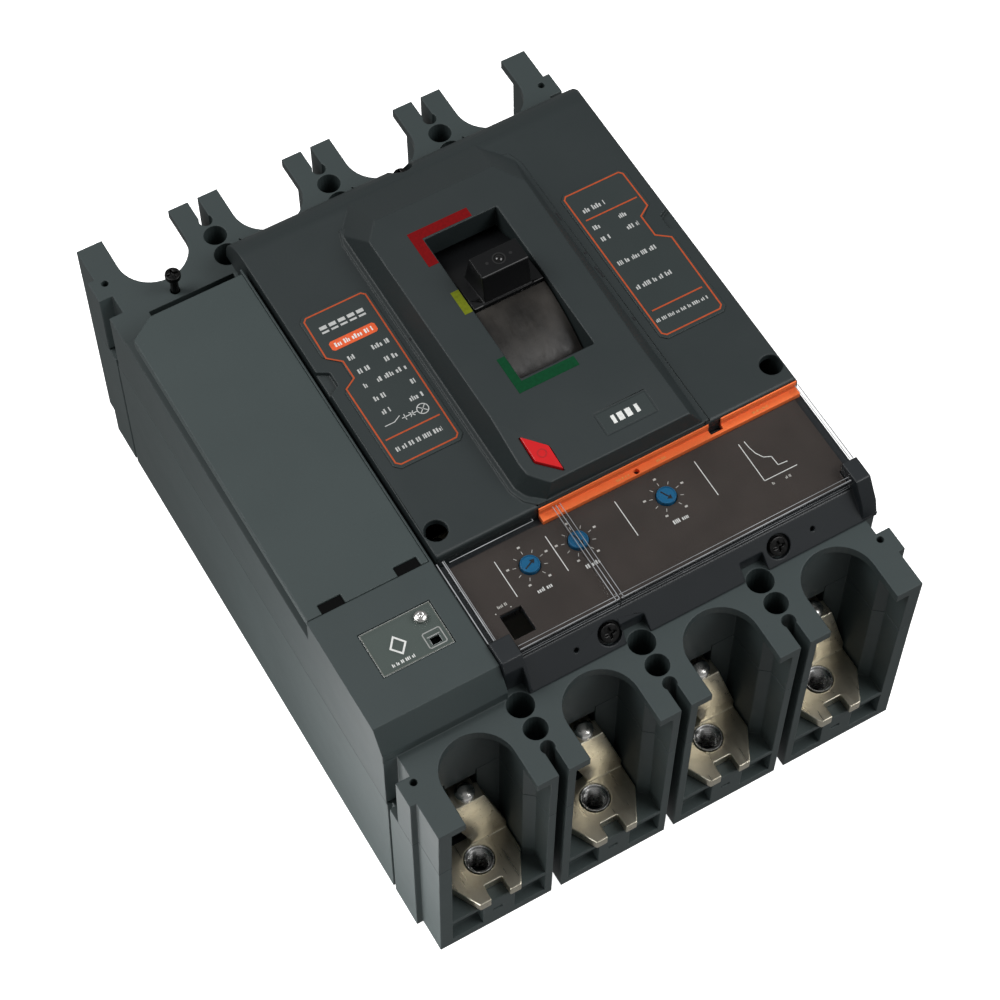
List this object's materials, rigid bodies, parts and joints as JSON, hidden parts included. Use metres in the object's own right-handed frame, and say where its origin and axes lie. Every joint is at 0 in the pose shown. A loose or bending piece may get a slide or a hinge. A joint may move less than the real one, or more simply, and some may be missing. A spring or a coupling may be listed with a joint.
{
  "type": "molded case circuit breaker",
  "caption": "Molded case breaker with a neutral pole, toggle, adjustable electronic trip unit under clear hinged lids, and shrouded screw terminals at both ends.",
  "frame": {"origin": "centre of the back mounting face", "axes": "+X across the poles, away from the neutral; +Y to the line side; +Z out of the front"},
  "size_m": [0.185, 0.2564, 0.131],
  "materials": {
    "housing": "matt slate moulded thermoset",
    "front_cover": "matt dark slate moulded plastic",
    "label": "printed matt label",
    "trip_housing": "fine textured black plastic",
    "faceplate": "dark brown satin plate",
    "orange_trim": "plain orange strip",
    "clear_plastic": "clear moulded lid",
    "black_screws": "black oxide steel",
    "bright_steel": "zinc plated steel",
    "inner_steel": "plain steel",
    "nickel": "nickel plated copper bar",
    "copper": "bare copper with silver tips",
    "crossbar_plastic": "filled thermoset",
    "transformer_resin": "cast resin",
    "circuit_board": "solder mask",
    "toggle_black": "black satin plastic",
    "shutter_gloss": "polished black plastic with light scuffs",
    "red_button": "plain red plastic",
    "blue_dial": "plain blue plastic"
  },
  "bodies": {
    "housing": {"base_housing": "housing", "main_case": "housing", "neutral_pole_cover": "housing", "front_cover": "front_cover", "rating_label_left": "label", "rating_label_right": "label", "current_rating_plate": "label", "trip_unit_housing": "trip_housing", "trip_faceplate": "faceplate", "trip_trim_strip": "orange_trim", "neutral_window": "clear_plastic", "trip_unit_screw_1": "black_screws", "trip_unit_screw_2": "black_screws", "cover_screw_1": "black_screws", "cover_screw_2": "black_screws", "line_screw_1": "black_screws", "line_screw_2": "black_screws", "seal_screw": "bright_steel", "terminal_bolt_n": "bright_steel", "terminal_bolt_l1": "bright_steel", "terminal_bolt_l2": "bright_steel", "terminal_bolt_l3": "bright_steel", "mechanism_frame": "inner_steel", "cradle_latch": "inner_steel", "trip_actuator": "inner_steel", "arc_chute_n": "inner_steel", "arc_chute_l1": "inner_steel", "arc_chute_l2": "inner_steel", "arc_chute_l3": "inner_steel", "line_terminal_n": "nickel", "line_terminal_l1": "nickel", "line_terminal_l2": "nickel", "line_terminal_l3": "nickel", "load_terminal_n": "nickel", "load_terminal_l1": "nickel", "load_terminal_l2": "nickel", "load_terminal_l3": "nickel", "current_transformer_n": "transformer_resin", "current_transformer_l1": "transformer_resin", "current_transformer_l2": "transformer_resin", "current_transformer_l3": "transformer_resin", "trip_circuit_board": "circuit_board"},
    "toggle": {"toggle_handle": "toggle_black", "toggle_shutter": "shutter_gloss", "operating_lever": "inner_steel", "mainspring_left": "inner_steel", "mainspring_right": "inner_steel"},
    "crossbar": {"crossbar": "crossbar_plastic", "moving_contact_n": "copper", "moving_contact_l1": "copper", "moving_contact_l2": "copper", "moving_contact_l3": "copper", "contact_link": "inner_steel"},
    "trip_button": {"trip_button": "red_button"},
    "trip_bar": {"trip_bar": "transformer_resin"},
    "overload_dial": {"overload_dial": "blue_dial"},
    "short_delay_dial": {"short_delay_dial": "blue_dial"},
    "instant_dial": {"instant_dial": "blue_dial"},
    "lid_left": {"clear_lid_left": "clear_plastic"},
    "lid_right": {"clear_lid_right": "clear_plastic"}
  },
  "joints": [
    {"name": "toggle_swing", "type": "hinge", "parent": "housing", "child": "toggle", "pos_m": [0.0225, 0.024, 0.0685], "axis": [1, 0, 0], "range_deg": [-20, 31.5]},
    {"name": "contact_swing", "type": "hinge", "parent": "housing", "child": "crossbar", "pos_m": [0, 0.002, 0.047], "axis": [1, 0, 0], "range_deg": [-11, 17.4]},
    {"name": "trip_push", "type": "slide", "parent": "housing", "child": "trip_button", "axis": [0, 0, -1], "range_m": [0, 0.002], "stiffness_N_per_m": 1500, "springref_m": -0.001},
    {"name": "trip_bar_turn", "type": "hinge", "parent": "housing", "child": "trip_bar", "pos_m": [0.0006, -0.033, 0.087], "axis": [1, 0, 0], "range_deg": [0, 15]},
    {"name": "overload_set", "type": "hinge", "parent": "housing", "child": "overload_dial", "pos_m": [-0.0197, -0.0635, 0.1], "axis": [0, 0, 1], "range_deg": [-110, 110]},
    {"name": "short_delay_set", "type": "hinge", "parent": "housing", "child": "short_delay_dial", "pos_m": [-0.0016, -0.0635, 0.1], "axis": [0, 0, 1], "range_deg": [-110, 110]},
    {"name": "instant_set", "type": "hinge", "parent": "housing", "child": "instant_dial", "pos_m": [0.0318, -0.0635, 0.1], "axis": [0, 0, 1], "range_deg": [-110, 110]},
    {"name": "lid_left_open", "type": "hinge", "parent": "housing", "child": "lid_left", "pos_m": [-0.02455, -0.0512, 0.1073], "axis": [-1, 0, 0], "range_deg": [0, 90]},
    {"name": "lid_right_open", "type": "hinge", "parent": "housing", "child": "lid_right", "pos_m": [0.0447, -0.0512, 0.1073], "axis": [-1, 0, 0], "range_deg": [0, 90]}
  ],
  "couplings": [
    {"joint": "contact_swing", "follows": "toggle_swing", "ratio": 0.55},
    {"joint": "trip_bar_turn", "follows": "trip_push", "rad_per_m": 125}
  ]
}
